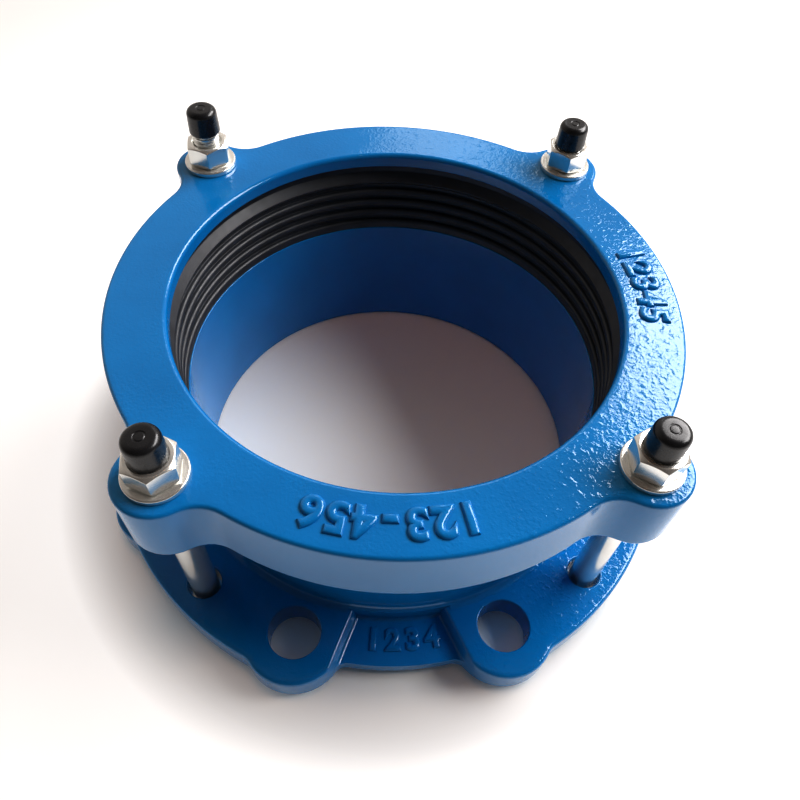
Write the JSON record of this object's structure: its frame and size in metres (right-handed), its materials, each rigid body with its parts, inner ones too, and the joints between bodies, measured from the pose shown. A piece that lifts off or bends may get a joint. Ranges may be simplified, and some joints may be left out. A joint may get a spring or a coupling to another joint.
{
  "type": "flange adaptor",
  "caption": "Wide-range pipe flange adaptor: a drilled flange body, a ribbed rubber gasket and a bolted end ring that grips and seals a plain pipe end.",
  "frame": {"origin": "centre of the sealing face under the flange", "axes": "+Z along the pipe axis from the flange to the end ring, -Y towards the front panel between two ears"},
  "size_m": [0.2668, 0.2668, 0.1424],
  "materials": {
    "blue_coating": "glossy blue epoxy coating",
    "gasket_rubber": "satin moulded rubber",
    "zinc_steel": "bright zinc plate",
    "cap_plastic": "satin black plastic"
  },
  "bodies": {
    "base": {"flange_body": "blue_coating", "bolts": "zinc_steel", "gasket": "gasket_rubber"},
    "ring": {"end_ring": "blue_coating", "washers": "zinc_steel"},
    "nut_front_left": {"nut_front_left": "zinc_steel"},
    "nut_front_right": {"nut_front_right": "zinc_steel"},
    "nut_back_right": {"nut_back_right": "zinc_steel"},
    "nut_back_left": {"nut_back_left": "zinc_steel"},
    "cap_front_left": {"cap_front_left": "cap_plastic"},
    "cap_front_right": {"cap_front_right": "cap_plastic"},
    "cap_back_right": {"cap_back_right": "cap_plastic"},
    "cap_back_left": {"cap_back_left": "cap_plastic"}
  },
  "joints": [
    {"name": "ring_slide", "type": "slide", "parent": "base", "child": "ring", "axis": [0, 0, -1], "range_m": [0, 0.012], "deforming": ["gasket"]},
    {"name": "nut_front_left_turn", "type": "hinge", "parent": "ring", "child": "nut_front_left", "pos_m": [-0.08697, -0.08697, 0.1208], "axis": [0, 0, -1], "range_deg": [0, 2470]},
    {"name": "nut_front_right_turn", "type": "hinge", "parent": "ring", "child": "nut_front_right", "pos_m": [0.08697, -0.08697, 0.1208], "axis": [0, 0, -1], "range_deg": [0, 2470]},
    {"name": "nut_back_right_turn", "type": "hinge", "parent": "ring", "child": "nut_back_right", "pos_m": [0.08697, 0.08697, 0.1208], "axis": [0, 0, -1], "range_deg": [0, 2470]},
    {"name": "nut_back_left_turn", "type": "hinge", "parent": "ring", "child": "nut_back_left", "pos_m": [-0.08697, 0.08697, 0.1208], "axis": [0, 0, -1], "range_deg": [0, 2470]},
    {"name": "cap_front_left_pull", "type": "slide", "parent": "base", "child": "cap_front_left", "axis": [0, 0, 1], "range_m": [0, 0.012]},
    {"name": "cap_front_right_pull", "type": "slide", "parent": "base", "child": "cap_front_right", "axis": [0, 0, 1], "range_m": [0, 0.012]},
    {"name": "cap_back_right_pull", "type": "slide", "parent": "base", "child": "cap_back_right", "axis": [0, 0, 1], "range_m": [0, 0.012]},
    {"name": "cap_back_left_pull", "type": "slide", "parent": "base", "child": "cap_back_left", "axis": [0, 0, 1], "range_m": [-0.005, 0.007]}
  ],
  "couplings": [
    {"joint": "nut_front_left_turn", "follows": "ring_slide", "rad_per_m": 3590.4},
    {"joint": "nut_front_right_turn", "follows": "ring_slide", "rad_per_m": 3590.4},
    {"joint": "nut_back_right_turn", "follows": "ring_slide", "rad_per_m": 3590.4},
    {"joint": "nut_back_left_turn", "follows": "ring_slide", "rad_per_m": 3590.4}
  ]
}
